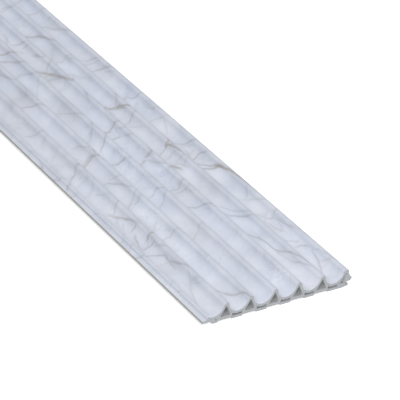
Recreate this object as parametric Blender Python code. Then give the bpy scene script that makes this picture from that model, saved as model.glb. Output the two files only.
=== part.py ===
"""Fluted wall panel, extruded from wood-plastic composite (WPC) and sold by the length.

The panel is one extrusion, so its whole shape is one section run out to the stock length.
The face is a row of deep round flutes between narrow rounded ridges. Behind each ridge is
a triangular hollow and behind each flute a shallow slot, and the back stands on pads. One
long edge is a tongue. The other is a groove between a curved wing and a short lip. The
next panel's tongue goes into the groove, and the seam then lies inside a flute.

Metres, +Z up. The panel lies on its back: X runs across it from the tongue to the groove,
Y along its length, and Z from the pads up to the ridges. The origin is the middle of the
back. The section itself is drawn in x from the ridge line of the panel before it, so that
ridge number n lies at n pitches, and in z from the pads.
"""

import math

import bpy

# Stock
PANEL_LENGTH = 2.900
FLUTE_COUNT = 6
FLUTE_PITCH = 0.025

# Face: round flutes, round ridges, and flanks where the two arcs meet without a corner
RELIEF_DEPTH = 0.0110
RIDGE_RADIUS = 0.00285

# Slot behind each flute, with its floor on the pad side and its roof under the flute
SLOT_FLOOR_WALL = 0.0025
SLOT_HEIGHT = 0.0018
SLOT_ROOF_WALL = 0.0027

# Triangular hollow behind each ridge
RIDGE_HOLLOW_WIDTH = 0.0108
RIDGE_HOLLOW_FLOOR_WALL = 0.0029
FLANK_WALL = 0.0021
WEB_WALL = 0.0019
LAST_HOLLOW_SHOULDER = 0.0010

# Both kinds of hollow have the same small radius in their corners
HOLLOW_CORNER_RADIUS = 0.0006

# Round core hole in the thick tongue side
CORE_HOLE_DIAMETER = 0.0016
CORE_HOLE_HEIGHT = 0.0033
CORE_HOLE_OFFSET = 0.00325

# Back
PAD_WIDTH = 0.0108
PAD_SIDE_SLOPE = 0.0005
RECESS_DEPTH = 0.0015
FIRST_PAD_WIDTH = 0.00515
FIRST_PAD_SIDE_SLOPE = 0.00225
EDGE_RADIUS = 0.0003

# Seam between two panels, measured on the tongue side from the ridge line before it
SEAM_OFFSET = 0.00775
SEAM_GAP = 0.0002
STEP_LEAN = 0.00185

# Tongue, and the groove that takes it
TONGUE_REACH = 0.0039
TONGUE_THICKNESS = 0.0025
FIT_CLEARANCE = 0.0003
TONGUE_END_GAP = 0.0010

# Lip under the groove
LIP_THICKNESS = 0.0025
LIP_REACH = 0.0035
LIP_TIP_THICKNESS = 0.0012
LIP_BEVEL_LENGTH = 0.00575

# Longest straight step along a drawn arc
ARC_STEP = 0.0005

# Composite, grey all through
COMPOSITE_COLOUR = (0.43, 0.44, 0.46, 1.0)
COMPOSITE_ROUGHNESS = 0.7

# The flutes and ridges touch tangentially, which fixes the flute's radius and height
HALF_PITCH = FLUTE_PITCH / 2
ARC_RADII_SUM = (RELIEF_DEPTH + HALF_PITCH**2 / RELIEF_DEPTH) / 2
ARC_CENTRE_RISE = ARC_RADII_SUM - RELIEF_DEPTH
FLUTE_RADIUS = ARC_RADII_SUM - RIDGE_RADIUS
FLANK_DRAFT = math.atan2(ARC_CENTRE_RISE, HALF_PITCH)

FLUTE_FLOOR_THICKNESS = SLOT_FLOOR_WALL + SLOT_HEIGHT + SLOT_ROOF_WALL
FLUTE_CENTRE_Z = FLUTE_FLOOR_THICKNESS + FLUTE_RADIUS
RIDGE_CENTRE_Z = FLUTE_CENTRE_Z - ARC_CENTRE_RISE
COVER_WIDTH = FLUTE_COUNT * FLUTE_PITCH

# Tongue and groove share these heights and places
TONGUE_BOTTOM_Z = LIP_THICKNESS + FIT_CLEARANCE
TONGUE_TOP_Z = TONGUE_BOTTOM_Z + TONGUE_THICKNESS
GROOVE_ROOF_Z = TONGUE_TOP_Z + FIT_CLEARANCE
STEP_FOOT_X = SEAM_OFFSET - STEP_LEAN
TONGUE_TIP_X = STEP_FOOT_X - TONGUE_REACH
GROOVE_END_X = COVER_WIDTH + TONGUE_TIP_X - TONGUE_END_GAP
LIP_END_X = GROOVE_END_X + LIP_REACH

# Hollows behind the ridges
HOLLOW_FLOOR_Z = RECESS_DEPTH + RIDGE_HOLLOW_FLOOR_WALL
HOLLOW_HALF_WIDTH = RIDGE_HOLLOW_WIDTH / 2


def flute_x(number):
    """The middle of a flute; the flutes are numbered from 0 at the tongue."""
    return (number + 0.5) * FLUTE_PITCH


def ridge_x(number):
    """The middle of a ridge; ridge 0 is the last one of the panel before."""
    return number * FLUTE_PITCH


def arc(centre, radius, start, end):
    """Points on an arc from the start angle to the end angle, in radians, and on its middle."""
    steps = 2 * max(2, math.ceil(abs(end - start) * radius / ARC_STEP / 2))
    points = []
    for step in range(steps + 1):
        angle = start + (end - start) * step / steps
        points.append((centre[0] + radius * math.cos(angle), centre[1] + radius * math.sin(angle)))
    return points


def rounded(corners, radius, closed=True):
    """A polygon, or an open run of corners, with each corner rounded as far as its sides allow."""
    count = len(corners)
    points = []
    for index, corner in enumerate(corners):
        if not closed and index in (0, count - 1):
            points.append(corner)
            continue
        points += rounded_corner(corners[index - 1], corner, corners[(index + 1) % count], radius)
    return points


def rounded_corner(before, corner, after, radius):
    """The arc that replaces one corner, using at most 0.45 of each of its two sides."""
    to_before = math.atan2(before[1] - corner[1], before[0] - corner[0])
    to_after = math.atan2(after[1] - corner[1], after[0] - corner[0])
    opening = math.remainder(to_after - to_before, math.tau)
    half_tangent = math.tan(abs(opening) / 2)
    shorter_side = min(math.dist(before, corner), math.dist(corner, after))
    radius = min(radius, 0.45 * shorter_side * half_tangent)
    middle = to_before + opening / 2
    reach = radius / math.sin(abs(opening) / 2)
    centre = (corner[0] + reach * math.cos(middle), corner[1] + reach * math.sin(middle))
    turn = math.pi - abs(opening)
    half_turn = math.copysign(turn / 2, opening)
    away = middle + math.pi
    return arc(centre, radius, away + half_turn, away - half_turn)


def flute_point(number, x):
    """The point of a flute's surface at a given x."""
    drop = math.sqrt(FLUTE_RADIUS**2 - (x - flute_x(number)) ** 2)
    return x, FLUTE_CENTRE_Z - drop


def flute_angle(number, x):
    """The angle of that point about the flute's centre, below the horizontal."""
    return -math.acos((x - flute_x(number)) / FLUTE_RADIUS)


def flute_arc(number, start, end):
    """Part of a flute's surface, drawn from right to left."""
    return arc((flute_x(number), FLUTE_CENTRE_Z), FLUTE_RADIUS, start, end)


def face():
    """The decorated face, from the wing's tip over every ridge and flute to the seam corner."""
    flank_right = -FLANK_DRAFT
    flank_left = FLANK_DRAFT - math.pi
    wing_tip = flute_angle(FLUTE_COUNT, COVER_WIDTH + SEAM_OFFSET - SEAM_GAP)
    seam_corner = flute_angle(0, SEAM_OFFSET)
    points = flute_arc(FLUTE_COUNT, wing_tip, flank_left)
    for number in range(FLUTE_COUNT, 0, -1):
        ridge = arc((ridge_x(number), RIDGE_CENTRE_Z), RIDGE_RADIUS, FLANK_DRAFT, math.pi - FLANK_DRAFT)
        end = seam_corner if number == 1 else flank_left
        flute = flute_arc(number - 1, flank_right, end)
        points += ridge[1:-1] + flute
    return points


def tongue_edge():
    """From the foot of the leaning step round the tongue to the first pad.

    The pad's outer corner stays sharp, as does the start of the lip's bevel: the panel
    stands on these two lines.
    """
    pad_start = flute_x(0) + PAD_WIDTH / 2 - FIRST_PAD_WIDTH
    corners = [
        (SEAM_OFFSET, flute_point(0, SEAM_OFFSET)[1]),
        (STEP_FOOT_X, TONGUE_TOP_Z),
        (TONGUE_TIP_X, TONGUE_TOP_Z),
        (TONGUE_TIP_X, TONGUE_BOTTOM_Z),
        (pad_start - FIRST_PAD_SIDE_SLOPE, TONGUE_BOTTOM_Z),
        (pad_start, 0.0),
    ]
    return rounded(corners, EDGE_RADIUS, closed=False)[1:]


def back():
    """The pads and recesses, from the end of the first pad to the start of the lip's bevel."""
    half_pad = PAD_WIDTH / 2
    corners = [(flute_x(0), 0.0)]
    for number in range(1, FLUTE_COUNT):
        recess_start = flute_x(number - 1) + half_pad
        recess_end = flute_x(number) - half_pad
        corners += [
            (recess_start, 0.0),
            (recess_start + PAD_SIDE_SLOPE, RECESS_DEPTH),
            (recess_end - PAD_SIDE_SLOPE, RECESS_DEPTH),
            (recess_end, 0.0),
        ]
    corners.append((LIP_END_X - LIP_BEVEL_LENGTH, 0.0))
    return rounded(corners, EDGE_RADIUS, closed=False)[1:]


def groove_edge():
    """Up the lip's bevel, into the groove and out along the wing's end, up to its tip."""
    lean_per_height = STEP_LEAN / (flute_point(0, SEAM_OFFSET)[1] - TONGUE_TOP_Z)
    wing_shift = COVER_WIDTH - SEAM_GAP
    wing_foot_x = STEP_FOOT_X + lean_per_height * FIT_CLEARANCE + wing_shift
    corners = [
        (LIP_END_X - LIP_BEVEL_LENGTH, 0.0),
        (LIP_END_X, LIP_THICKNESS - LIP_TIP_THICKNESS),
        (LIP_END_X, LIP_THICKNESS),
        (GROOVE_END_X, LIP_THICKNESS),
        (GROOVE_END_X, GROOVE_ROOF_Z),
        (wing_foot_x, GROOVE_ROOF_Z),
        flute_point(FLUTE_COUNT, SEAM_OFFSET + wing_shift),
    ]
    return rounded(corners, EDGE_RADIUS, closed=False)[1:-1]


def outline():
    """The whole outer outline, counterclockwise from the first pad."""
    return back() + groove_edge() + face() + tongue_edge()


def flank_line_run():
    """How far a ridge hollow's side leans in for each metre of height.

    The side starts at the end of the hollow's floor and just touches the circle that
    keeps FLANK_WALL of material to the flute.
    """
    across = HALF_PITCH - HOLLOW_HALF_WIDTH
    up = FLUTE_CENTRE_Z - HOLLOW_FLOOR_Z
    to_flute_centre = math.atan2(up, across)
    to_tangent = math.asin((FLUTE_RADIUS + FLANK_WALL) / math.hypot(across, up))
    return -1 / math.tan(to_flute_centre + to_tangent)


def ridge_hollow(number):
    """The triangular hollow behind a ridge."""
    middle = ridge_x(number)
    apex_z = HOLLOW_FLOOR_Z + HOLLOW_HALF_WIDTH / flank_line_run()
    corners = [
        (middle - HOLLOW_HALF_WIDTH, HOLLOW_FLOOR_Z),
        (middle + HOLLOW_HALF_WIDTH, HOLLOW_FLOOR_Z),
        (middle, apex_z),
    ]
    return rounded(corners, HOLLOW_CORNER_RADIUS)


def last_ridge_hollow():
    """The hollow behind the ridge over the groove: its right side stands clear of the groove."""
    middle = ridge_x(FLUTE_COUNT)
    lean = flank_line_run()
    apex_z = HOLLOW_FLOOR_Z + HOLLOW_HALF_WIDTH / lean
    corners = [
        (middle - HOLLOW_HALF_WIDTH, HOLLOW_FLOOR_Z),
        (GROOVE_END_X - WEB_WALL, HOLLOW_FLOOR_Z),
        (middle + LAST_HOLLOW_SHOULDER, apex_z - LAST_HOLLOW_SHOULDER / lean),
        (middle, apex_z),
    ]
    return rounded(corners, HOLLOW_CORNER_RADIUS)


def flute_slot(number):
    """The shallow slot behind a flute: a flat floor, upright ends and a roof that follows the flute."""
    middle = flute_x(number)
    half_width = HALF_PITCH - HOLLOW_HALF_WIDTH - WEB_WALL
    roof_radius = FLUTE_RADIUS + SLOT_ROOF_WALL
    roof_half_angle = math.asin(half_width / roof_radius)
    floor = [(middle - half_width, SLOT_FLOOR_WALL), (middle + half_width, SLOT_FLOOR_WALL)]
    roof = arc(
        (middle, FLUTE_CENTRE_Z),
        roof_radius,
        roof_half_angle - math.pi / 2,
        -roof_half_angle - math.pi / 2,
    )
    right_end = rounded_corner(floor[0], floor[1], roof[0], HOLLOW_CORNER_RADIUS)
    left_end = rounded_corner(roof[-1], floor[0], floor[1], HOLLOW_CORNER_RADIUS)
    return left_end + right_end + roof


def core_hole():
    """The small round hole in the thick tongue side, where the first flute has no slot."""
    centre = (flute_x(0) + CORE_HOLE_OFFSET, CORE_HOLE_HEIGHT)
    return arc(centre, CORE_HOLE_DIAMETER / 2, 0.0, math.tau)[:-1]


def hollows():
    """Every hollow of the section, from the tongue side to the groove side."""
    shapes = [core_hole()]
    for number in range(1, FLUTE_COUNT):
        shapes += [ridge_hollow(number), flute_slot(number)]
    shapes.append(last_ridge_hollow())
    return shapes


def composite_material():
    """Grey wood-plastic composite as it leaves the die."""
    material = bpy.data.materials.new("grey_composite")
    material.use_nodes = True
    shader = material.node_tree.nodes["Principled BSDF"]
    shader.inputs["Base Color"].default_value = COMPOSITE_COLOUR
    shader.inputs["Roughness"].default_value = COMPOSITE_ROUGHNESS
    shader.inputs["Metallic"].default_value = 0.0
    material.diffuse_color = COMPOSITE_COLOUR
    return material


def add_closed_spline(curve, points, middle):
    """One closed polygon of the section, moved so that the section is centred on x = 0."""
    spline = curve.splines.new("POLY")
    spline.points.add(len(points) - 1)
    for control, (x, z) in zip(spline.points, points):
        control.co = (x - middle, z, 0.0, 1.0)
    spline.use_cyclic_u = True


def wall_panel(collection):
    """The panel: the section as a filled flat curve, given the stock length."""
    outer = outline()
    across = [x for x, z in outer]
    middle = (min(across) + max(across)) / 2
    curve = bpy.data.curves.new("wall_panel", "CURVE")
    curve.dimensions = "2D"
    curve.fill_mode = "BOTH"
    curve.extrude = PANEL_LENGTH / 2
    for points in [outer, *hollows()]:
        add_closed_spline(curve, points, middle)
    curve.materials.append(composite_material())
    panel = bpy.data.objects.new("wall_panel", curve)
    panel.rotation_euler = (math.pi / 2, 0.0, 0.0)
    collection.objects.link(panel)
    return panel


def main():
    for old in list(bpy.data.objects):
        bpy.data.objects.remove(old, do_unlink=True)
    collection = bpy.data.collections.new("fluted_wall_panel")
    bpy.context.scene.collection.children.link(collection)
    wall_panel(collection)
    bpy.context.view_layer.update()


main()
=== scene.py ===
"""The looks of a fluted wall panel: marbled film over its face, bare grey composite elsewhere.

The frame gives the panel itself. This script adds the decor film that the factory bonds
over the flutes, the two materials, a pale floor, soft light and the camera. Metres, in
the frame's own axes: X across the panel, Y along it, Z up.
"""

import math

import bmesh
import bpy
from mathutils import Euler, Matrix, Vector

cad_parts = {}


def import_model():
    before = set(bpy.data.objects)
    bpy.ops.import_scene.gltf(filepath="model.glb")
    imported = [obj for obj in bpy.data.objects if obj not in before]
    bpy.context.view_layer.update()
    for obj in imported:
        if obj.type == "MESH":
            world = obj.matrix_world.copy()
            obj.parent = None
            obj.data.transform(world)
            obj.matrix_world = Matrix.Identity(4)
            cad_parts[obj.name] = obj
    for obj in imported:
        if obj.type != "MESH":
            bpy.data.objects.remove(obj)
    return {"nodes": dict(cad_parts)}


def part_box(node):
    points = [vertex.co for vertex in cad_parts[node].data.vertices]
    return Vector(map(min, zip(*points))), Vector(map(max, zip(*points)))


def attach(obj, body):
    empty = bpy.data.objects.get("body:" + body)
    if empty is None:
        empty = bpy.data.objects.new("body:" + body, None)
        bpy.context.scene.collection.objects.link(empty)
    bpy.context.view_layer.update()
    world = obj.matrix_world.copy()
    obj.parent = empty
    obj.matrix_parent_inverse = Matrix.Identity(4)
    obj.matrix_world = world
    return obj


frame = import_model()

PANEL = frame["nodes"]["wall_panel"]
PANEL_LOW, PANEL_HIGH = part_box("wall_panel")
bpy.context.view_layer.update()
MM = 0.001

# Reading the panel's mesh: corners this close are one, a corner this close to a limit is on
# it, and a face whose normal has this much Y is part of an end
WELD = 1e-6
CLOSE = 1e-5
END_FACING = 0.5

# Camera, solved from the photograph: its place, and its pitch, roll and heading in degrees
CAMERA_PLACE = (-1.103524, -2.695264, 1.101985)
CAMERA_TURN = (58.3669, -7.6149, -34.1935)
CAMERA_LENS = 213.95
CAMERA_SENSOR = 36.0
CAMERA_CLIP = (0.05, 200.0)

# Floor and even light; a strength of 1 is white to the lens
FLOOR_REACH = 60.0
FLOOR_DROP = 0.2 * MM
FLOOR_COLOR = (0.8, 0.8, 0.8, 1)
FLOOR_GLOW = 0.45
WORLD_STRENGTH = 0.475
WHITE = (1, 1, 1, 1)

# Film: how far its outer skin and its ends stand off the panel and its inner skin lies inside
# it, and its bays along the panel, which its bake map holds in a few strips
FILM_PROUD = 0.12 * MM
FILM_BURIED = 0.05 * MM
FILM_END_STAND = 0.05 * MM
FILM_STRIPS = 4
BAYS_A_STRIP = 15
FILM_BAYS = FILM_STRIPS * BAYS_A_STRIP
SHARP_ANGLE = math.radians(35)

# Layout of the film's bake map, as shares of its unit square
MAP_EDGE = 0.004
STRIP_PITCH = 0.2325
STRIP_HEIGHT = 0.221
STRIP_RIM = 0.002
LINING_LOW, LINING_HEIGHT = 0.937, 0.04
END_LOWS, END_HEIGHT = (0.983, 0.992), 0.004

# Film's colours
COOL_CLOUD = (0.592, 0.63, 0.72, 1)
WHITE_CLOUD = (0.708, 0.737, 0.812, 1)
WARM_TINT = (1.01, 1.0, 0.99, 1)
COOL_TINT = (0.99, 1.0, 1.012, 1)
PATCH_GREY = (0.34, 0.33, 0.345, 1)
# Pale marble, also the colour of the painted light
PALE_MARBLE_AND_PAINTED_LIGHT = (0.86, 0.89, 0.96, 1)
VEIN_GREY = (0.33, 0.325, 0.335, 1)
VEIN_BROWN = (0.33, 0.295, 0.235, 1)
# The blue of the painted shade along the flutes
PAINTED_SHADE_BLUE = (0.265, 0.30, 0.41, 1)

# Composite's colours, the roughness of its skin and its sawn ends, and the darker olive band
# along its long edges
SKIN_DARK = (0.45, 0.46, 0.47, 1)
SKIN_PALE = (0.55, 0.56, 0.575, 1)
EDGE_OLIVE = (0.345, 0.345, 0.325, 1)
SAWN_DARK = (0.345, 0.36, 0.38, 1)
SAWN_PALE = (0.46, 0.475, 0.50, 1)
SKIN_ROUGHNESS = 0.62
SAWN_ROUGHNESS = 0.85
EDGE_BAND = 0.6 * MM

# Composite's faces, told apart by how much Y or Z their normals have at least: its sawn ends,
# all but its back, and the floors of its hollows. Then the painted light that makes its hollows
# paler than the back, and the painted shade that makes their floors darker than their walls.
SAWN_FACING = 0.7
OFF_BACK_FACING = -0.95
HOLLOW_FLOOR_FACING = 0.3
HOLLOW_PAINTED_LIGHT = 0.2
HOLLOW_FLOOR_PAINTED_SHADE = -0.43

# Composite's grain, finer where the number is larger: its streaks and flecks along X, Y and Z,
# its grit and its saw marks. Then the saw marks' slant.
STREAK_SCALE = (1500, 6, 1500)
FLECK_SCALE = (1400, 260, 1400)
GRIT_SCALE = 1700.0
SAW_MARK_SCALE = 190.0
SAW_SLANT = math.radians(24)

# The middle of a noise texture's range
NOISE_MIDDLE = 0.5

# Printed marble, in millimetres across the flat film and along it from the near end: how
# long the print is before it comes again, the stretch across that its drawing covers, and
# the range over which the drawing wanders off its drawn paths
PRINT_REPEAT = 580.0
VEIN_SPAN = 232.0
VEIN_START = -4.0
WANDER = (2.5, 6, 0)

# A vein: the most that half its width may be along the film, how far it runs on past its drawn
# ends, the longest that it takes to fade at each, how many times as far its halo reaches and
# how strong that is, and the least gap between two in one lane
WIDEST_VEIN = 40.0
VEIN_RUN_OUT = 1.6
VEIN_FADE = 4.5
HALO_REACH = 3.0
HALO_STRENGTH = 0.2
LANE_GAP = 1.0

# The faint web between the drawn veins: how strong it is, and how far each thread reaches
# from its middle, as a difference in the noise that it follows
WEB_STRENGTH = 0.2
WEB_REACH = 0.02

# Painted shade and painted light as lines along the film, in millimetres across it: middle,
# half width, strength and colour. Those of the flutes come again at each flute: painted shade
# along each crown's shaded side and painted light on each floor. Those of the first flute
# don't: painted shade on its step and on its flank.
CROWN_PITCH = 36.367
LINE_CORE = 0.3
FLUTE_SHADE_AND_LIGHT_LINES = [
    (30.05, 3.2, 0.15, PAINTED_SHADE_BLUE),
    (31.6, 1.1, 0.32, PAINTED_SHADE_BLUE),
    (12.2, 7.2, 0.13, PALE_MARBLE_AND_PAINTED_LIGHT),
]
FIRST_FLUTE_SHADE_LINES = [
    (5.3, 2.2, 0.33, PAINTED_SHADE_BLUE),
    (25.3, 6.5, 0.17, PAINTED_SHADE_BLUE),
]

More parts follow.
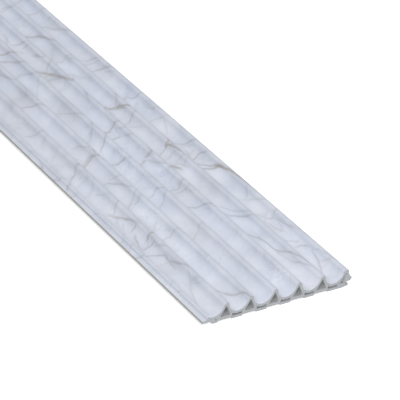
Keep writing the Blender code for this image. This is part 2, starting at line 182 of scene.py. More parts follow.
# Each vein: its strength, its half width, and its path as (across, along) points
VEINS = [
    # Chains of veins that cross several flutes, and small ones beside them
    (0.52, 2.5, [(0, 214.5), (5, 220.5), (8, 221), (10, 223), (14, 227.5), (17, 229.5), (21, 229.7),
                 (24, 232.2), (28, 233), (33, 233.6), (48, 242)]),
    (0.48, 3.0, [(21, 231), (24.5, 233.8), (28, 234.4), (31, 234.4), (35, 236)]),
    (0.64, 3.2, [(44, 240), (48, 242.3), (51, 244), (54, 244.8), (58, 245), (61, 245), (63.5, 243.4),
                 (66, 240.8), (68, 240.2), (73, 240.8)]),
    (0.42, 3.4, [(46, 243.5), (50, 246.2), (54, 247.6), (60, 247.6), (64, 245.5)]),
    (0.52, 2.6, [(70, 242), (76, 239), (84, 235.8), (88, 234.4), (92, 233), (96, 231.6), (99.5, 230.2),
                 (102, 229)]),
    (0.46, 2.2, [(99.5, 227), (103, 226.6), (105, 228.5), (112, 228), (118, 226.5)]),
    (0.54, 2.8, [(112, 227), (121, 226), (124, 226.6), (127, 227.6), (130, 226.6)]),
    (0.64, 2.8, [(129, 231), (132, 229.6), (135, 228.8), (138, 228.4), (140, 229), (143, 230.5),
                 (150, 231.5)]),
    (0.44, 2.4, [(137.8, 227), (138.8, 229.6), (139.8, 232)]),
    (0.50, 2.0, [(146, 231), (158, 232), (160, 234), (163, 236), (168, 236), (172, 236.5)]),
    (0.48, 2.0, [(176, 239), (179, 242), (190, 248), (194, 246.6), (198, 242.6), (203, 236.8),
                 (206, 235.8), (209, 233.6), (214, 227.5)]),
    (0.28, 2.6, [(199, 238), (203, 233.4), (207, 229)]),
    (0.26, 2.0, [(203, 206), (206, 201.5), (208.6, 196)]),
    (0.42, 2.0, [(70, 271), (84, 276.4), (88, 278.8), (92, 281.6), (96, 284.6), (100, 287.2), (103, 291),
                 (106, 296), (110, 300)]),
    (0.32, 3.0, [(90, 284), (93, 285.4), (96, 286.4), (99, 287.2)]),
    (0.62, 3.0, [(108, 291), (121, 287.5), (125, 286.4), (130, 287.4), (134, 287.6), (139, 285.8),
                 (143, 286), (150, 288)]),
    (0.40, 2.0, [(152, 289), (158, 292), (162, 293), (167, 294.5), (171, 295), (175, 294.5), (180, 294)]),
    (0.26, 2.0, [(184, 294), (194, 288), (199, 288), (203, 285), (207, 281), (214, 275)]),
    (0.54, 2.4, [(87, 258), (89.5, 260.2), (92, 262), (95, 263.2), (99, 264.8), (103, 266.3), (106, 271),
                 (112, 273)]),
    (0.46, 2.6, [(108, 272), (112, 273), (121, 274), (124, 273), (127, 272.4), (131, 272.4)]),
    (0.24, 2.4, [(130, 275), (131, 279), (132, 284)]),
    (0.38, 2.4, [(132.6, 284), (135.2, 278.6), (138, 275.4), (140, 275.6), (143, 278), (150, 284)]),
    (0.46, 1.8, [(112, 176), (121, 177), (124, 178.5), (127, 177), (130, 175.5), (134, 176.5), (143, 177),
                 (152, 180)]),
    (0.50, 2.0, [(112, 155), (121, 150), (124, 148), (127, 145), (131, 141), (135, 138), (140, 132.5),
                 (158, 128), (160, 125), (163, 121), (165, 118), (168, 112), (171, 107.5), (174, 105),
                 (180, 104)]),
    # Strong and brownish ones
    (0.75, 3.4, [(100, 438), (121, 409), (124, 405), (127, 401), (129, 394), (132, 386.5), (135, 379),
                 (137, 373), (139, 367.5), (141, 366), (148, 374), (158, 384), (160, 386)]),
    (0.78, 3.2, [(139.4, 309), (143, 312), (150, 320), (155, 328), (157, 327.5), (158.5, 325.8),
                 (160, 322.8), (161.5, 320.8), (163.5, 319.4), (166, 318.2), (168, 316), (170, 313.2),
                 (173, 309.8), (176, 306), (182, 305)]),
    (0.85, 3.4, [(154.6, 329.5), (157.6, 327), (159.2, 324.8), (161, 321.6)]),
    (0.90, 5.4, [(163.5, 317.4), (166, 317), (168.3, 315.2), (170.3, 312.4), (173, 309.2)]),
    (0.66, 2.8, [(184, 204), (194, 199.3), (197, 197.3), (199.4, 194.8), (202, 192.4), (205, 190.2),
                 (207.6, 186.5)]),
    (0.90, 4.0, [(203.6, 193), (206.2, 190.4), (207.6, 187.6), (209, 183.4), (210.4, 177.6),
                 (211.8, 170)]),
    (0.95, 2.4, [(208.6, 184.5), (210.1, 178.4), (211.3, 171), (212.2, 163), (213, 154), (214, 143),
                 (215.5, 130)]),
    (0.56, 2.4, [(193.5, 210), (196.5, 206), (198.6, 203), (200.4, 199.6), (203, 195.6), (205, 193),
                 (208, 188.6)]),
    (0.74, 3.6, [(138, 198), (143, 199.5), (150, 207), (157, 215), (160, 211.5), (162, 207.5),
                 (163, 205)]),
    (0.86, 3.6, [(157.8, 215), (160, 212.2), (161.8, 209.4), (163.3, 206)]),
    (0.80, 2.8, [(168.6, 237), (171.2, 236.8), (173, 234), (174.2, 230.5), (175, 226), (176.1, 221),
                 (177.6, 217)]),
    (0.78, 3.8, [(168.4, 237.2), (170.5, 237.4), (172.8, 236.8)]),
    (0.80, 2.8, [(167, 237), (170, 238), (173, 238.2), (175, 238), (177, 240.5), (179, 244)]),
    (0.50, 2.2, [(174.8, 229), (175.8, 233), (176.8, 238), (178, 243)]),
    (0.62, 2.4, [(86, 452), (91, 448), (94, 444), (97, 440.5), (100, 438), (103, 435), (112, 437),
                 (118, 440)]),
    (0.42, 2.3, [(57.5, 412), (59.5, 406), (61.4, 400), (64, 393.5), (65.6, 388), (67.5, 383)]),
    (0.60, 3.0, [(154, 474), (158, 472), (161, 470), (164, 467), (167, 463), (169, 459), (171, 454),
                 (173, 448), (174.5, 443.5), (177, 440.5), (184, 440)]),
    (0.60, 2.4, [(38, 44), (48.5, 31.5), (50, 28.5), (52, 24.5), (54, 21), (56, 17.5), (58, 14.3),
                 (60.5, 12.5), (62.5, 10.7), (64, 8.2), (65, 5), (66, -4)]),
    (0.80, 2.4, [(45, 38), (48.5, 31.5), (50, 28.5), (52, 24.8)]),
    (0.75, 2.0, [(63.4, 10), (64.6, 7), (65.3, 3), (65.9, -2), (66.3, -6)]),
    (0.50, 2.6, [(-3, 254), (0, 257), (1.5, 258), (3, 262), (5, 266)]),
    # Starting on the first flute
    (0.56, 2.0, [(-3, 104), (0, 102), (4, 100.5), (7, 99), (10, 97), (14, 97), (17, 95), (20, 91.5),
                 (22, 89), (23.4, 86.8), (25, 84)]),
    (0.62, 2.2, [(21.2, 76), (22, 80), (22.8, 84), (23.6, 87)]),
    (0.62, 2.6, [(20.5, 80), (22, 78), (25, 73), (28, 66), (30, 61), (33, 55), (40, 44)]),
    (0.40, 2.0, [(22, 165), (26, 166), (29, 167), (33, 170), (40, 168), (48, 168.5), (51, 171), (55, 174),
                 (60, 175), (68, 178.5)]),
    (0.40, 2.4, [(10.5, 165), (12, 164.5), (14, 163.5), (16, 161.5), (19, 162.5), (22, 165), (25, 166),
                 (28, 167)]),
    (0.60, 2.5, [(13.5, 168), (14.6, 165), (16, 161.5), (18, 158), (20, 155), (22, 150), (24, 145.5),
                 (26, 141), (28.3, 134), (29.5, 130)]),
    (0.50, 1.7, [(16, 132), (18, 133), (21, 133.5), (25, 133.5), (28.3, 136), (30, 137)]),
    (0.34, 3.0, [(26, 104), (27.4, 108), (28.6, 114), (29.6, 125), (30.4, 132)]),
    (0.26, 2.0, [(-3, 123), (0, 125), (4, 128), (7, 130), (10, 133), (13, 139), (16, 144), (20, 147)]),
    (0.38, 2.2, [(11.6, 139), (12.6, 143), (13.2, 146), (14.6, 150.5), (16, 154.5), (18, 159)]),
    (0.26, 2.0, [(-3, 110), (0, 112), (4, 115), (8, 117), (12, 120), (15, 124)]),
    (0.64, 2.6, [(11, 107), (11.8, 110), (13, 113), (14.5, 119), (16, 124), (18.5, 127)]),
    (0.60, 2.0, [(10.5, 109.5), (14, 107), (17, 107.5), (20, 106.5), (24, 105.5), (29, 105)]),
    (0.36, 1.6, [(17, 107.5), (19, 109.5), (21, 111.5), (24, 113.5)]),
    (0.74, 2.5, [(20.5, 113), (22, 113.5), (25, 114), (28, 113.7), (33, 113.6), (40, 114), (48, 113)]),
    (0.44, 2.8, [(22.5, 102), (25, 99.5), (28, 96), (31, 91), (33, 89)]),
    (0.48, 2.6, [(25, 99), (25.8, 102), (26.5, 105), (27.2, 108), (28.2, 112)]),
    (0.25, 2.0, [(8, 80), (15, 81), (20, 79), (23, 77)]),
    (0.36, 2.2, [(4, 43), (6, 42), (8, 40.5), (9.5, 39)]),
    (0.34, 2.2, [(8, 18), (9, 20), (12, 27), (15, 35), (17, 41), (20, 43.5), (22, 43), (26, 38),
                 (29, 35)]),
    (0.30, 2.4, [(16, 40), (21, 46), (24, 49), (27, 53), (31, 59)]),
    (0.34, 5.0, [(16, 40), (19, 43), (22, 46), (26, 44), (31, 41)]),
    (0.30, 2.0, [(-3, 205), (0, 206), (4, 207), (6.5, 207.5), (8.5, 207)]),
    (0.30, 2.0, [(8, 198), (12, 199), (17, 201), (22, 203), (28, 206), (31, 209), (40, 212)]),
    (0.20, 2.2, [(12, 214), (14, 215), (20, 217), (25, 215), (29, 211)]),
    (0.28, 2.0, [(19, 195), (22, 193), (24, 189), (28, 185)]),
    (0.24, 2.0, [(-3, 172), (0, 173), (5, 173), (8, 169), (12, 166)]),
    (0.34, 2.0, [(-3, 237), (0, 236), (8, 233), (15, 230)]),
    (0.48, 2.6, [(-3, 240), (0, 237), (1.5, 235.2), (3.5, 233)]),
    (0.26, 2.6, [(3.5, 288), (5, 285), (7, 281.5), (9.5, 277.5)]),
    (0.20, 2.8, [(12, 258), (16, 262), (20, 264.5), (24, 264)]),
    (0.18, 3.4, [(17, 282.5), (21, 286.2), (25, 287), (30, 287)]),
    (0.40, 2.4, [(13, 308), (15, 307), (18, 304.5), (21, 302), (24, 300), (28, 297), (32, 295),
                 (42, 289)]),
    (0.30, 5.5, [(22, 343), (25, 346), (28, 347), (34, 352)]),
    # Starting on the second flute
    (0.34, 2.0, [(44, 123), (48, 127), (51, 131), (54, 134), (60, 136)]),
    (0.36, 1.8, [(44, 114), (48, 113), (53, 113.5), (57, 111.5), (62, 112), (66, 111), (76, 110),
                 (86, 105), (90, 108), (94, 108.5), (97, 110.5), (104, 111), (110, 112)]),
    (0.44, 1.7, [(54, 170), (56, 169.5), (60, 168.5), (64, 168.5), (70, 170.5), (84, 175), (88, 175.5),
                 (92, 175.5), (95, 178), (99, 176.5), (103, 172), (106, 174), (113, 176)]),
    (0.45, 2.5, [(44, 210), (48, 209), (53, 209), (56, 205), (59, 200), (62, 194), (64.5, 188),
                 (67, 184)]),
    (0.32, 2.0, [(54, 212), (56, 211), (60, 208.5), (65, 204.5), (70, 203.5), (76, 202)]),
    (0.62, 3.0, [(64, 240.5), (65.4, 243.6), (66.6, 247.3), (68, 250), (70, 251.5), (74, 255)]),
    (0.36, 2.0, [(52, 272.6), (54, 271.8), (57, 269.6), (60, 266.6), (62.2, 263), (64.2, 259), (66.4, 256),
                 (68, 258), (70, 262), (76, 270)]),
    (0.34, 2.2, [(62.8, 245), (63.8, 248.5), (65, 252.5), (66.2, 256.5)]),
    (0.24, 2.4, [(48.6, 259), (50, 256), (51.4, 252), (52.8, 248)]),
    (0.50, 2.4, [(44, 353), (48, 353), (52, 353), (55, 350.5), (59, 346), (63, 342.5), (67, 336),
                 (74, 332)]),
    # Starting on the third flute
    (0.34, 2.0, [(82, 152), (85, 156), (88, 160), (93, 162.5), (99, 165), (103, 166), (106, 169),
                 (114, 173), (124, 173), (128, 171), (133, 168.5), (137, 167), (142, 170), (150, 175)]),
    (0.50, 2.8, [(82, 442), (86, 438), (90, 434), (94, 428), (97, 422), (100, 417), (103, 414), (112, 414),
                 (121, 409)]),
    (0.40, 2.8, [(82, 402), (86, 404), (91, 406), (95, 401), (99, 395), (103, 393), (112, 394), (121, 389),
                 (126, 388), (130, 384), (134, 377)]),
    (0.28, 2.6, [(90, 374), (93, 377), (97, 381), (103, 384), (110, 388)]),
    (0.25, 2.8, [(80, 362), (84, 366), (88, 371), (92, 374)]),
    (0.28, 2.5, [(80, 334), (84, 333), (88, 331), (92, 327), (96, 320), (99, 315), (103, 309),
                 (108, 302)]),
    (0.22, 2.0, [(88, 190), (90, 189), (95, 183), (101, 181)]),
    # Starting on the fourth flute
    (0.36, 2.8, [(128, 229), (129, 227), (134, 216), (138, 208), (140, 205), (143, 200)]),
    (0.40, 1.9, [(125, 402), (130, 403), (134, 404.5), (143, 406), (152, 410), (158, 413), (160, 417),
                 (163, 415), (167, 413.5), (171, 412.5), (176, 410), (184, 414), (194, 414), (198, 409),
                 (202, 405), (206, 402), (212, 393)]),
    (0.30, 2.2, [(128, 393), (130, 392), (134, 391), (140, 388)]),
    (0.34, 3.0, [(112, 397), (121, 396), (125, 397), (129, 398)]),
    (0.40, 4.0, [(120, 466), (122, 468), (125, 470), (128, 480)]),
    (0.46, 2.5, [(124, 463), (126, 461), (130, 456), (134, 453), (138, 449)]),
    (0.38, 2.6, [(129, 448), (131, 447), (136, 445), (139, 443)]),
    (0.30, 2.8, [(118, 454), (121, 452), (124, 448), (129, 440)]),
    (0.46, 2.8, [(130, 431), (132, 428), (135, 423), (138, 416), (140, 420), (143, 427)]),
    (0.48, 2.8, [(136.6, 335), (138, 338), (139.2, 341.5), (141, 345)]),
    (0.36, 3.2, [(132.4, 267.8), (134.4, 265.5), (136.4, 263.2), (138.4, 261.6)]),
    # Starting on the fifth flute
    (0.28, 2.0, [(156, 224), (163, 225), (168, 226), (172, 225), (175, 223)]),
    (0.34, 1.8, [(158, 217), (161, 216.5), (163.5, 214), (166, 215.5), (170, 214.5), (179, 213),
                 (186, 213.5)]),
    (0.36, 2.0, [(163, 215.4), (165.4, 211.4), (167.4, 206), (169, 201)]),
    (0.26, 2.4, [(166.6, 205), (170, 206.4), (174, 206.2), (179, 208)]),
    (0.34, 2.0, [(158, 143), (161, 138), (164, 131), (165.5, 126), (167, 123), (171, 117), (175, 111),
                 (178, 108)]),
    (0.58, 1.8, [(152, 102), (156, 97), (158, 93), (159.6, 88.5), (162, 84), (163.5, 80), (164, 76),
                 (164.3, 70), (164.6, 64), (165.2, 59), (167, 54.8), (170, 49.5), (172.7, 43.5),
                 (174, 38.5), (175.3, 32), (176.5, 26), (180, 14)]),
    (0.40, 1.8, [(164.6, 56), (165.8, 49), (166.3, 42), (167.5, 35.5), (170, 31), (172, 26), (174, 20.5),
                 (176.5, 14)]),
    (0.32, 2.2, [(168, 414), (170, 411), (173, 406), (176, 402)]),
    (0.34, 3.0, [(156, 394), (160, 391), (162, 388), (164, 383)]),
    (0.22, 3.0, [(162, 387), (163.5, 382), (166, 378), (170, 372), (175, 366)]),
    (0.50, 2.2, [(164.4, 317.5), (166.6, 319.8), (169.4, 322.8), (173.4, 325), (177.4, 330.4), (184, 336),
                 (194, 334), (198, 334), (201, 337)]),
    (0.26, 2.4, [(158, 289), (160, 287), (164, 283), (167, 279), (171, 274)]),
    # Starting on the sixth flute
    (0.58, 2.0, [(190, 213.5), (194, 214.5), (198, 215.8), (201.6, 217.3), (205.2, 217.2), (207, 215),
                 (208.8, 211.8), (211, 209.5)]),
    (0.52, 2.6, [(195.4, 222.6), (196.2, 224.8), (197, 227)]),
    (0.38, 2.8, [(192, 226), (194, 225), (197, 223.5), (200, 225)]),
    (0.26, 2.0, [(190, 145), (194, 143), (200, 139), (205, 142.5), (210, 145.5), (214, 147)]),
    (0.28, 2.0, [(198, 141), (199, 139), (203, 134), (208, 127), (210, 123.5), (214, 119)]),
    (0.42, 2.0, [(186, 122), (194, 117), (196, 114), (199, 109), (200, 105), (203, 101.5), (208, 103),
                 (214, 102)]),
    (0.32, 2.2, [(190, 98), (194, 101), (196, 104), (199, 107), (201, 109), (206, 110)]),
    (0.36, 2.0, [(202.6, 103), (204, 101), (205.6, 94), (206.4, 88), (207.6, 82), (209.6, 76), (211, 68),
                 (213, 56)]),
    (0.40, 2.0, [(196.2, 104), (197.2, 97), (198, 91), (199.4, 86), (201.4, 82)]),
    (0.34, 1.6, [(203, 102.5), (206, 102.5), (209, 102), (214, 102)]),
    (0.25, 2.0, [(197, 83), (199, 84), (202, 86), (204, 91), (207, 90)]),
    (0.36, 1.8, [(192, 72), (195, 70), (199, 67), (201, 63), (205, 61)]),
    (0.46, 2.0, [(196, 60), (198, 59), (201, 57), (204, 52), (207, 47)]),
    (0.46, 2.1, [(190, 9), (194, 16.5), (197, 22), (200, 28.5), (202.3, 34.5), (203.5, 39), (205, 43),
                 (207, 45)]),
    (0.30, 1.8, [(205.5, 43), (208, 39), (209.5, 36), (210.5, 31.5), (212, 26), (214, 22)]),
    (0.28, 2.0, [(201, 29), (203, 28), (207, 24), (211, 20), (215, 17)]),
    (0.43, 3.0, [(184, 493), (194, 486), (199, 479), (202, 472), (204, 469), (206.5, 464.5), (209, 458),
                 (213, 450)]),
    (0.30, 2.5, [(190, 404), (194, 403), (198, 402), (204, 397), (211, 392)]),
    (0.42, 2.5, [(186, 394), (194, 391), (199, 388), (204, 384), (208, 380), (213, 373)]),
    (0.28, 2.2, [(202, 381), (203, 379), (207, 373), (212, 364)]),
    (0.48, 2.2, [(198, 335), (199, 333), (201, 329), (205, 326), (209, 324), (215, 321)]),
    (0.26, 2.2, [(190, 312), (194, 314), (199, 318), (204, 322)]),
    (0.34, 2.4, [(203, 308), (204, 306), (206, 300), (208, 297), (214, 291)]),
    (0.25, 2.2, [(196, 262), (198, 264), (202, 271), (205, 276), (209, 278)]),
    # Beyond what the photograph shows
    (0.55, 2.4, [(0, 520), (20, 512), (40, 519), (66, 498), (92, 506), (112, 514), (132, 526)]),
    (0.40, 2.4, [(70, 560), (95, 548), (120, 553), (148, 546), (158, 529), (163, 524), (168, 522),
                 (173, 518.5), (178, 516)]),
    (0.36, 2.8, [(162, 529), (167, 526), (170, 522), (173, 517.5), (177, 513)]),
    (0.34, 2.6, [(192, 515), (198, 510), (201, 508), (205, 504.5), (210, 502), (216, 500)]),
    (0.42, 2.2, [(176, 552), (188, 546), (200, 536), (212, 541), (226, 535)]),
    (0.40, 2.4, [(10, 438), (24, 420), (38, 428), (52, 447), (70, 455)]),
    (0.35, 2.2, [(150, 566), (168, 550), (182, 557), (204, 541)]),
    (0.45, 2.6, [(0, 402), (14, 396), (30, 399), (44, 386)]),
]

# Broad cloudy patches, given as the veins are: greyer than the marble round them, and paler. The last
# three pale ones are painted light on the last flute towards the near end.
GREY_PATCHES = [
    (0.23, 28.0, [(44, 364), (58, 366), (74, 366)]),
    (0.14, 26.0, [(44, 408), (58, 410), (74, 410)]),
    (0.20, 32.0, [(86, 318), (96, 322), (108, 326)]),
    (0.15, 22.0, [(119, 164), (128, 164), (140, 162)]),
    (0.15, 30.0, [(156, 156), (168, 158), (182, 164)]),
    (0.08, 20.0, [(192, 166), (202, 168), (212, 170)]),
    (0.14, 14.0, [(200, 484), (206, 478), (212, 470)]),
    (0.10, 40.0, [(80, 40), (95, 40), (110, 40)]),
    (0.10, 40.0, [(80, 112), (95, 114), (110, 112)]),
    (0.07, 40.0, [(-3, 240), (15, 240), (31, 240)]),
    (0.09, 40.0, [(-3, 330), (15, 330), (31, 330)]),
    (0.15, 18.0, [(10, 74), (20, 70), (32, 76)]),
    (0.20, 14.0, [(119, 394), (124, 392), (131, 386)]),
    (0.16, 20.0, [(156, 428), (168, 430), (180, 426)]),
]
PALE_AND_PAINTED_LIGHT_PATCHES = [
    (0.30, 24.0, [(52, 150), (62, 142), (70, 140)]),
    (0.25, 18.0, [(52, 94), (62, 92), (70, 96)]),
    (0.25, 18.0, [(82, 256), (94, 256), (110, 262)]),
    (0.35, 8.0, [(128, 209), (135, 205), (141, 204)]),
    (0.26, 12.0, [(160, 198), (168, 196), (174, 198)]),
    (0.25, 12.0, [(154, 112), (162, 108), (172, 98)]),
    (0.25, 22.0, [(154, 26), (164, 20), (176, 12)]),
    (0.25, 20.0, [(-3, 60), (4, 60), (8, 60)]),
    (0.20, 16.0, [(192, 274), (203, 268), (214, 264)]),
    (0.22, 20.0, [(119, 20), (130, 22), (142, 16)]),
    # Painted light: the last flute paler towards the near end
    (0.25, 38.0, [(188, 40), (203, 40), (223, 36)]),
    (0.25, 38.0, [(188, 112), (203, 112), (223, 106)]),
    (0.22, 34.0, [(188, 186), (203, 184), (223, 178)]),
]


def add_object(name, data):
    """An object with that data, in the scene."""
    added = bpy.data.objects.new(name, data)
    bpy.context.scene.collection.objects.link(added)
    return added


def outer_outline():
    """The panel's outer outline at its near end, as (x, z) points in order round it."""
    shape = bmesh.new()
    shape.from_mesh(PANEL.data)
    bmesh.ops.remove_doubles(shape, verts=shape.verts, dist=WELD)
    neighbours = {}
    for edge in shape.edges:
        at_near_end = all(vertex.co.y < PANEL_LOW.y + CLOSE for vertex in edge.verts)
        on_end = [abs(face.normal.y) > END_FACING for face in edge.link_faces]
        if at_near_end and any(on_end) and not all(on_end):
            ends = [(vertex.co.x, vertex.co.z) for vertex in edge.verts]
            neighbours.setdefault(ends[0], []).append(ends[1])
            neighbours.setdefault(ends[1], []).append(ends[0])
    shape.free()
    start = min(neighbours)
    loop = [start]
    previous, current = start, neighbours[start][0]
    while current != start:
        loop.append(current)
        step = [point for point in neighbours[current] if point != previous]
        previous, current = current, step[0]
    return loop


def film_path():
    """The outline's run that the film covers, from the tongue's tip over the face to the wing's tip."""
    loop = outer_outline()
    left = min(x for x, z in loop)
    start = max((z, index) for index, (x, z) in enumerate(loop) if x < left + CLOSE)[1]
    loop = loop[start:] + loop[:start]
    end = max((x, index) for index, (x, z) in enumerate(loop))[1]
    runs = [loop[: end + 1], [loop[0]] + loop[end:][::-1]]
    return max(runs, key=lambda run: sum(z for x, z in run) / len(run))


def offset_path(path, distance):
    """The path moved outwards, towards its left-hand side, by a small distance."""
    moved = []
    for index, point in enumerate(path):
        before = Vector(path[max(index - 1, 0)])
        after = Vector(path[min(index + 1, len(path) - 1)])
        along = (after - before).normalized()
        moved.append((point[0] - along.y * distance, point[1] + along.x * distance))
    return moved


def along_map(share):
    """How far along the bake map a share of its length lies."""
    return MAP_EDGE + (1 - 2 * MAP_EDGE) * share


def strip_spot(bay, row, share, lined):
    """A corner's spot on the bake map's strips of outer skin, which hold the two long rims as well."""
    strip = bay // BAYS_A_STRIP
    low = strip * STRIP_PITCH + (STRIP_PITCH - STRIP_HEIGHT) / 2
    rim = math.copysign(STRIP_RIM, share - 0.5) if lined else 0.0
    return along_map(row / BAYS_A_STRIP - strip), low + STRIP_HEIGHT * share + rim


def lining_spot(row, share):
    """A corner's spot on the bake map's strip of inner skin."""
    return along_map(row / FILM_BAYS), LINING_LOW + LINING_HEIGHT * share


def end_spot(low, share, lined):
    """A corner's spot on the bake map's strip for one end of the film."""
    return along_map(share), low + (END_HEIGHT if lined else 0.0)


def film_faces(share):
    """Each face's corners, as (row, index) in the film's rings, with their spots on the bake map.

    A ring runs over the outer skin and back over the inner one, and share says how far over
    the film each of its corners lies.
    """
    count = len(share)
    half = count // 2
    for bay in range(FILM_BAYS):
        for index in range(count):
            other = (index + 1) % count
            corners = [(bay, index), (bay, other), (bay + 1, other), (bay + 1, index)]
            if half <= index < count - 1:
                yield corners, [lining_spot(row, share[i]) for row, i in corners]
            else:
                yield corners, [strip_spot(bay, row, share[i], i >= half) for row, i in corners]
    for row, low in zip((0, FILM_BAYS), END_LOWS):
        for index in range(half - 1):
            around = (index, index + 1, count - 2 - index, count - 1 - index)
            yield [(row, i) for i in around], [end_spot(low, share[i], i >= half) for i in around]


def marble_film():
    """The decor film as a thin closed skin, with its flat coordinates and a bake map as UV maps."""
    path = film_path()
    across = [0.0]
    for before, after in zip(path, path[1:]):
        across.append(across[-1] + math.dist(before, after))
    place = across + across[::-1]
    share = [over / across[-1] for over in place]
    section = offset_path(path, FILM_PROUD) + offset_path(path, -FILM_BURIED)[::-1]
    near = PANEL_LOW.y - FILM_END_STAND
    length = PANEL_HIGH.y + FILM_END_STAND - near

    shape = bmesh.new()
    flat = shape.loops.layers.uv.new("flat")
    bake = shape.loops.layers.uv.new("OFBake")
    rings = []
    for row in range(FILM_BAYS + 1):
        y = near + length * row / FILM_BAYS
        rings.append([shape.verts.new((x, y, z)) for x, z in section])
    for corners, spots in film_faces(share):
        face = shape.faces.new([rings[row][index] for row, index in corners])
        face.smooth = True
        for loop, (row, index), spot in zip(face.loops, corners, spots):
            loop[flat].uv = (place[index], length * row / FILM_BAYS)
            loop[bake].uv = spot
    bmesh.ops.recalc_face_normals(shape, faces=shape.faces)
    mesh = bpy.data.meshes.new("marble_film")
    shape.to_mesh(mesh)
    shape.free()
    mesh.set_sharp_from_angle(angle=SHARP_ANGLE)
    return add_object("marble_film", mesh)


def new_material(name):
    """A new material with its node tree and its Principled shader."""
    material = bpy.data.materials.new(name)
    material.use_nodes = True
    tree = material.node_tree
    return material, tree, tree.nodes["Principled BSDF"]


def add_node(tree, kind, inputs=None, **settings):
    """A node of that kind, with its settings made and its inputs set or linked."""
    node = tree.nodes.new("ShaderNode" + kind)
    for name, value in settings.items():
        setattr(node, name, value)
    for key, value in (inputs or {}).items():
        if isinstance(value, bpy.types.NodeSocket):
            tree.links.new(value, node.inputs[key])
        else:
            node.inputs[key].default_value = value
    return node


def maths(tree, operation, *values):
    """The result of one Math node."""
    return add_node(tree, "Math", dict(enumerate(values)), operation=operation).outputs[0]


def vector_maths(tree, operation, *values):
    """The result of one Vector Math node."""
    return add_node(tree, "VectorMath", dict(enumerate(values)), operation=operation).outputs[0]


def axes(tree, vector):
    """A vector's X, Y and Z."""
    return add_node(tree, "SeparateXYZ", {0: vector}).outputs


def remap(tree, value, start, end, low=0.0, high=1.0, kind="LINEAR"):
    """The value moved from the range start to end onto low to high, and kept within it."""
    inputs = {0: value, 1: start, 2: end, 3: low, 4: high}
    return add_node(tree, "MapRange", inputs, interpolation_type=kind).outputs[0]


def soft_mark(tree, away, reach, core=0.0, strength=1.0):
    """A mark that is at full strength up to its core and fades out smoothly by its reach."""
    return remap(tree, away, reach, core, high=strength, kind="SMOOTHSTEP")


def mix_values(tree, share, first, second):
    """The number that lies a share of the way from the first to the second."""
    return add_node(tree, "Mix", {0: share, 2: first, 3: second}, data_type="FLOAT").outputs[0]


def mix_colors(tree, share, first, second, blend_type="MIX"):
    """The colour that lies a share of the way from the first to the second."""
    inputs = {0: share, 6: first, 7: second}
    return add_node(tree, "Mix", inputs, data_type="RGBA", blend_type=blend_type).outputs[2]


def noise(tree, place, scale, detail, roughness=0.5, output="Fac"):
    """A smooth noise between 0 and 1, or its colour."""
    inputs = {"Vector": place, "Scale": scale, "Detail": detail, "Roughness": roughness}
    return add_node(tree, "TexNoise", inputs).outputs[output]


def add_bump(tree, shader, height, strength, distance):
    """Small bumps on the shader's surface."""
    bump = add_node(tree, "Bump", {"Height": height, "Strength": strength, "Distance": distance})
    tree.links.new(bump.outputs[0], shader.inputs["Normal"])


def vein_group():
    """A node group that turns a vein's drawn curve into how strongly it shows at a point."""
    tree = bpy.data.node_groups.new("vein", "ShaderNodeTree")
    for name, kind in (("Along", "Float"), ("Drawn", "Color"), ("Halo", "Float")):
        tree.interface.new_socket(name, in_out="INPUT", socket_type="NodeSocket" + kind)
    tree.interface.new_socket("Strength", in_out="OUTPUT", socket_type="NodeSocketFloat")
    given = tree.nodes.new("NodeGroupInput").outputs
    result = tree.nodes.new("NodeGroupOutput")
    drawn = add_node(tree, "SeparateColor", {0: given["Drawn"]}).outputs
    off = maths(tree, "MULTIPLY_ADD", drawn[0], -PRINT_REPEAT, given["Along"])
    half_width = maths(tree, "MULTIPLY", drawn[1], WIDEST_VEIN)
    away = maths(tree, "DIVIDE", maths(tree, "ABSOLUTE", off), half_width)
    core = soft_mark(tree, away, reach=1.0)
    halo = soft_mark(tree, away, reach=HALO_REACH, strength=given["Halo"])
    strength = maths(tree, "MULTIPLY", maths(tree, "MAXIMUM", core, halo), drawn[2])
    tree.links.new(strength, result.inputs[0])
    return tree


def mark_ends(mark):
    """Where a mark starts and ends across the film, with what it runs on."""
    path = mark[-1]
    return path[0][0] - VEIN_RUN_OUT, path[-1][0] + VEIN_RUN_OUT


def lanes(marks):
    """The marks shared out so that those in one lane lie beside each other across the film."""
    shared = []
    for mark in sorted(marks, key=lambda mark: mark_ends(mark)[0]):
        for lane in shared:
            if mark_ends(lane[-1])[1] + LANE_GAP < mark_ends(mark)[0]:
                lane.append(mark)
                break
        else:
            shared.append([mark])
    return shared


def run_on(point, towards):
    """The spot a little beyond an end point, straight on from its neighbour."""
    slope = (point[1] - towards[1]) / (point[0] - towards[0])
    step = math.copysign(VEIN_RUN_OUT, point[0] - towards[0])
    return (point[0] + step, point[1] + slope * step)


def mark_shape(strength, half_width, path):
    """A mark's path, half width and strength as points over the film's width.

    The half width is measured along the film, so it grows with the path's slope. The
    strength fades in and out within a third of the mark at each end.
    """
    drawn = [run_on(path[0], path[1]), *path, run_on(path[-1], path[-2])]
    places, widths = [], []
    for index, (across, along) in enumerate(drawn):
        before, after = drawn[max(index - 1, 0)], drawn[min(index + 1, len(drawn) - 1)]
        slope = (after[1] - before[1]) / (after[0] - before[0])
        places.append((across, along / PRINT_REPEAT))
        widths.append((across, min(half_width * math.hypot(1, slope) / WIDEST_VEIN, 1.0)))
    start, end = drawn[0][0], drawn[-1][0]
    fade = min(VEIN_FADE, (end - start) / 3)
    strengths = [(start, 0.0), (start + fade, strength), (end - fade, strength), (end, 0.0)]
    return places, widths, strengths


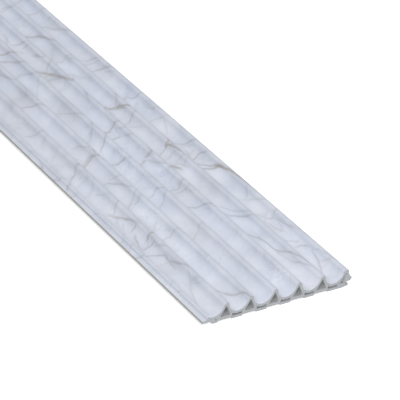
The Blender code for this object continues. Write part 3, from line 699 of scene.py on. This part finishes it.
def lane_curve(tree, over, lane):
    """A curve node that holds a lane's marks: paths in red, half widths in green, strengths in blue.

    Paths and half widths are smooth between a mark's ends, and strengths have corners.
    """
    node = add_node(tree, "RGBCurve", {"Color": over})
    by_channel = zip(*[mark_shape(*mark) for mark in lane])
    for curve, shapes, angular in zip(node.mapping.curves, by_channel, (False, False, True)):
        spots = []
        for shape in shapes:
            for index, spot in enumerate(shape):
                spots.append((spot, angular or index in (0, len(shape) - 1)))
        # A new point's first place doesn't matter, because each is then moved to its spot
        while len(curve.points) < len(spots):
            curve.points.new(0.5, 0.5)
        for point, ((across, value), pointed) in zip(curve.points, spots):
            point.location = ((across - VEIN_START) / VEIN_SPAN, value)
            point.handle_type = "VECTOR" if pointed else "AUTO"
    node.mapping.update()
    return node.outputs[0]


def drawn_marks(tree, marks, over, along, halo=0.0):
    """How strongly the strongest of those marks shows at a point."""
    group = vein_group()
    total = 0.0
    for lane in lanes(marks):
        one = tree.nodes.new("ShaderNodeGroup")
        one.node_tree = group
        tree.links.new(along, one.inputs["Along"])
        tree.links.new(lane_curve(tree, over, lane), one.inputs["Drawn"])
        one.inputs["Halo"].default_value = halo
        total = maths(tree, "MAXIMUM", total, one.outputs[0])
    return total


def vein_strength(tree, in_mm, wandering, over, along):
    """How strongly veins show: the drawn ones, here more and there less, and a faint web between."""
    drawn = drawn_marks(tree, VEINS, over, along, halo=HALO_STRENGTH)
    uneven = noise(tree, in_mm, scale=0.11, detail=2.0)
    patchy = remap(tree, uneven, start=0.36, end=0.6, low=0.72, high=0.94)
    web = noise(tree, wandering, scale=0.045, detail=3.0, roughness=0.55)
    crease = maths(tree, "ABSOLUTE", maths(tree, "SUBTRACT", web, NOISE_MIDDLE))
    thread = soft_mark(tree, crease, reach=WEB_REACH, strength=WEB_STRENGTH)
    webbed = remap(tree, noise(tree, in_mm, scale=0.025, detail=1.0), start=0.4, end=0.6)
    faint = maths(tree, "MULTIPLY", thread, webbed)
    return maths(tree, "MAXIMUM", maths(tree, "MULTIPLY", drawn, patchy), faint)


def marble_ground(tree, in_mm, clouds, over, along):
    """The marble without its veins: clouds, a slow drift in tint, and grey and pale patches, some of the
    pale ones painted light.
    """
    ground = mix_colors(tree, remap(tree, clouds, start=0.34, end=0.66), COOL_CLOUD, WHITE_CLOUD)
    drift = remap(tree, noise(tree, in_mm, scale=0.014, detail=2.0), start=0.35, end=0.65)
    tint = mix_colors(tree, drift, WARM_TINT, COOL_TINT)
    ground = mix_colors(tree, 1.0, ground, tint, blend_type="MULTIPLY")
    for patches, color in ((GREY_PATCHES, PATCH_GREY), (PALE_AND_PAINTED_LIGHT_PATCHES, PALE_MARBLE_AND_PAINTED_LIGHT)):
        ground = mix_colors(tree, drawn_marks(tree, patches, over, along), ground, color)
    return ground


def painted_shade_and_light_lines(tree, marble, across):
    """The marble's colour with the painted shade and painted light that run along the film as lines."""
    for lines, at_each_flute in ((FLUTE_SHADE_AND_LIGHT_LINES, True), (FIRST_FLUTE_SHADE_LINES, False)):
        for middle, half_width, strength, color in lines:
            away = maths(tree, "SUBTRACT", across, middle)
            if at_each_flute:
                away = maths(tree, "WRAP", away, CROWN_PITCH / 2, -CROWN_PITCH / 2)
            away = maths(tree, "ABSOLUTE", away)
            line = soft_mark(tree, away, reach=half_width, core=LINE_CORE, strength=strength)
            marble = mix_colors(tree, line, marble, color)
    return marble


def film_material():
    """White marble print with cool clouds and grey-brown veins, painted shade and light along its flutes,
    under a satin coat.
    """
    material, tree, shader = new_material("marble_film")
    flat = add_node(tree, "UVMap", uv_map="flat").outputs[0]
    in_mm = vector_maths(tree, "MULTIPLY", flat, (1 / MM, 1 / MM, 1 / MM))
    stir = noise(tree, in_mm, scale=0.09, detail=4.0, roughness=0.6, output="Color")
    shift = vector_maths(tree, "SUBTRACT", stir, (NOISE_MIDDLE, NOISE_MIDDLE, NOISE_MIDDLE))
    wandering = vector_maths(tree, "MULTIPLY_ADD", shift, WANDER, in_mm)
    spot = axes(tree, wandering)
    # The curves of the drawn marks take a place across the film as a share of their span
    share = maths(tree, "DIVIDE", maths(tree, "SUBTRACT", spot[0], VEIN_START), VEIN_SPAN)
    over = add_node(tree, "CombineColor", {0: share, 1: share, 2: share}).outputs[0]
    along = maths(tree, "WRAP", spot[1], PRINT_REPEAT, 0.0)

    veins = vein_strength(tree, in_mm, wandering, over, along)
    clouds = noise(tree, wandering, scale=0.035, detail=6.0, roughness=0.65)
    ground = marble_ground(tree, in_mm, clouds, over, along)
    vein_color = mix_colors(tree, remap(tree, veins, start=0.3, end=0.7), VEIN_GREY, VEIN_BROWN)
    marble = mix_colors(tree, veins, ground, vein_color)
    tree.links.new(painted_shade_and_light_lines(tree, marble, axes(tree, in_mm)[0]), shader.inputs["Base Color"])

    peel = noise(tree, in_mm, scale=0.5, detail=3.0, roughness=0.55)
    gloss = mix_values(tree, share=0.5, first=peel, second=clouds)
    roughness = remap(tree, gloss, start=0.35, end=0.65, low=0.36, high=0.5)
    tree.links.new(roughness, shader.inputs["Roughness"])
    add_bump(tree, shader, peel, strength=0.3, distance=0.03 * MM)
    return material


def composite_skin(tree, place, facing):
    """The composite's drawn skin: its tone, and its colour, with painted light in its hollows, painted
    shade on their floors and a darker olive band at long edges.
    """
    lengthways = vector_maths(tree, "MULTIPLY", place, STREAK_SCALE)
    streaks = noise(tree, lengthways, scale=1.0, detail=3.0, roughness=0.6)
    stretched = vector_maths(tree, "MULTIPLY", place, FLECK_SCALE)
    flecks = noise(tree, stretched, scale=1.0, detail=2.0)
    tone = mix_values(tree, share=0.35, first=streaks, second=flecks)
    color = mix_colors(tree, remap(tree, tone, start=0.35, end=0.65), SKIN_DARK, SKIN_PALE)
    # Painted light pales every face but the back, and painted shade darkens the hollows' floors
    gets_painted_light = maths(tree, "GREATER_THAN", facing[2], OFF_BACK_FACING)
    gets_painted_shade = maths(tree, "GREATER_THAN", facing[2], HOLLOW_FLOOR_FACING)
    painted_shading = maths(tree, "MULTIPLY_ADD", gets_painted_light, HOLLOW_PAINTED_LIGHT, 1.0)
    painted_shading = maths(tree, "MULTIPLY_ADD", gets_painted_shade, HOLLOW_FLOOR_PAINTED_SHADE, painted_shading)
    color = add_node(tree, "VectorMath", {0: color, "Scale": painted_shading}, operation="SCALE").outputs[0]
    # A darker olive band along the long edges
    sideways = maths(tree, "ABSOLUTE", axes(tree, place)[0])
    long_edge = maths(tree, "GREATER_THAN", sideways, PANEL_HIGH.x - EDGE_BAND)
    return tone, mix_colors(tree, long_edge, color, EDGE_OLIVE)


def composite_end(tree, place):
    """The composite's sawn ends: their tone, from grit and saw marks, and their colour."""
    grit = noise(tree, place, GRIT_SCALE, detail=3.0, roughness=0.7)
    slanted = add_node(tree, "Mapping", {"Vector": place, "Rotation": (0, SAW_SLANT, 0)}).outputs[0]
    uneven = {"Distortion": 2.5, "Detail": 2.0, "Detail Scale": 1.5}
    marks = add_node(tree, "TexWave", {"Vector": slanted, "Scale": SAW_MARK_SCALE, **uneven})
    tone = mix_values(tree, share=0.3, first=grit, second=marks.outputs["Fac"])
    return tone, mix_colors(tree, remap(tree, tone, start=0.25, end=0.75), SAWN_DARK, SAWN_PALE)


def composite_material():
    """Grey wood-plastic composite, with streaks drawn along its skin and saw marks on its ends."""
    material, tree, shader = new_material("grey_composite")
    coordinates = add_node(tree, "TexCoord").outputs
    facing = axes(tree, coordinates["Normal"])
    sawn = maths(tree, "GREATER_THAN", maths(tree, "ABSOLUTE", facing[1]), SAWN_FACING)
    skin_tone, skin_color = composite_skin(tree, coordinates["Object"], facing)
    end_tone, end_color = composite_end(tree, coordinates["Object"])
    tree.links.new(mix_colors(tree, sawn, skin_color, end_color), shader.inputs["Base Color"])
    height = mix_values(tree, sawn, skin_tone, end_tone)
    add_bump(tree, shader, height, strength=0.5, distance=0.15 * MM)
    roughness = mix_values(tree, sawn, SKIN_ROUGHNESS, SAWN_ROUGHNESS)
    tree.links.new(roughness, shader.inputs["Roughness"])
    return material


def white_to_the_lens(tree):
    """1 for rays that go to the camera directly, or by a reflection or through glass."""
    path = add_node(tree, "LightPath").outputs
    seen = maths(tree, "MAXIMUM", path["Is Camera Ray"], path["Is Glossy Ray"])
    return maths(tree, "MAXIMUM", seen, path["Is Transmission Ray"])


def floor():
    """A pale floor that keeps the panel's shadow and is white everywhere else."""
    mesh = bpy.data.meshes.new("floor")
    level = PANEL_LOW.z - FLOOR_DROP
    corners = ((-1, -1), (1, -1), (1, 1), (-1, 1))
    mesh.from_pydata([(x * FLOOR_REACH, y * FLOOR_REACH, level) for x, y in corners], [], [(0, 1, 2, 3)])
    material, tree, shader = new_material("floor")
    shader.inputs["Base Color"].default_value = FLOOR_COLOR
    shader.inputs["Roughness"].default_value = 1.0
    shader.inputs["Specular IOR Level"].default_value = 0.0
    shader.inputs["Emission Color"].default_value = WHITE
    glow = maths(tree, "MULTIPLY", white_to_the_lens(tree), FLOOR_GLOW)
    tree.links.new(glow, shader.inputs["Emission Strength"])
    mesh.materials.append(material)
    add_object("floor", mesh)


def world():
    """Even pale light from all round, white to the lens."""
    scene = bpy.context.scene
    scene.world = bpy.data.worlds.new("studio")
    scene.world.use_nodes = True
    tree = scene.world.node_tree
    light = tree.nodes["Background"]
    light.inputs["Color"].default_value = WHITE
    strength = remap(tree, white_to_the_lens(tree), start=0.0, end=1.0, low=WORLD_STRENGTH)
    tree.links.new(strength, light.inputs["Strength"])


def add_lamp(name, kind, strength, direction):
    """A lamp in the scene that shines along a direction."""
    lamp = bpy.data.lights.new(name, kind)
    lamp.energy = strength
    holder = add_object(name, lamp)
    holder.rotation_mode = "QUATERNION"
    holder.rotation_quaternion = Vector(direction).to_track_quat("-Z", "Y")
    return holder


def sun(name, direction, strength, softness):
    """A large soft lamp a long way off, as wide in the sky as its softness in degrees."""
    holder = add_lamp(name, "SUN", strength, direction)
    holder.data.angle = math.radians(softness)


def softbox(name, place, aim, size, power):
    """A square lamp at a place, turned towards another."""
    holder = add_lamp(name, "AREA", power, Vector(aim) - Vector(place))
    holder.location = place
    holder.data.shape = "SQUARE"
    holder.data.size = size


def camera():
    """The photograph's camera."""
    lens = bpy.data.cameras.new("camera")
    lens.lens = CAMERA_LENS
    lens.sensor_width = CAMERA_SENSOR
    lens.clip_start, lens.clip_end = CAMERA_CLIP
    holder = add_object("camera", lens)
    turn = Euler([math.radians(angle) for angle in CAMERA_TURN])
    holder.matrix_world = Matrix.Translation(CAMERA_PLACE) @ turn.to_matrix().to_4x4()
    bpy.context.scene.camera = holder


bpy.context.scene.view_settings.view_transform = "Standard"
camera()
world()
sun("key", direction=(0.5, 0.9, -1.0), strength=0.8, softness=15)
sun("fill", direction=(-1.0, 0.3, -0.45), strength=0.45, softness=30)
softbox("front", place=(-0.6, -2.35, 1.06), aim=(0.0, -1.4, 0.0), size=0.8, power=9)
softbox("far", place=(-1.0, 1.6, 1.2), aim=(0.0, 1.0, 0.0), size=1.0, power=7)
floor()

film = marble_film()
film.data.materials.append(film_material())
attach(film, "root")

PANEL.data.materials[0] = composite_material()
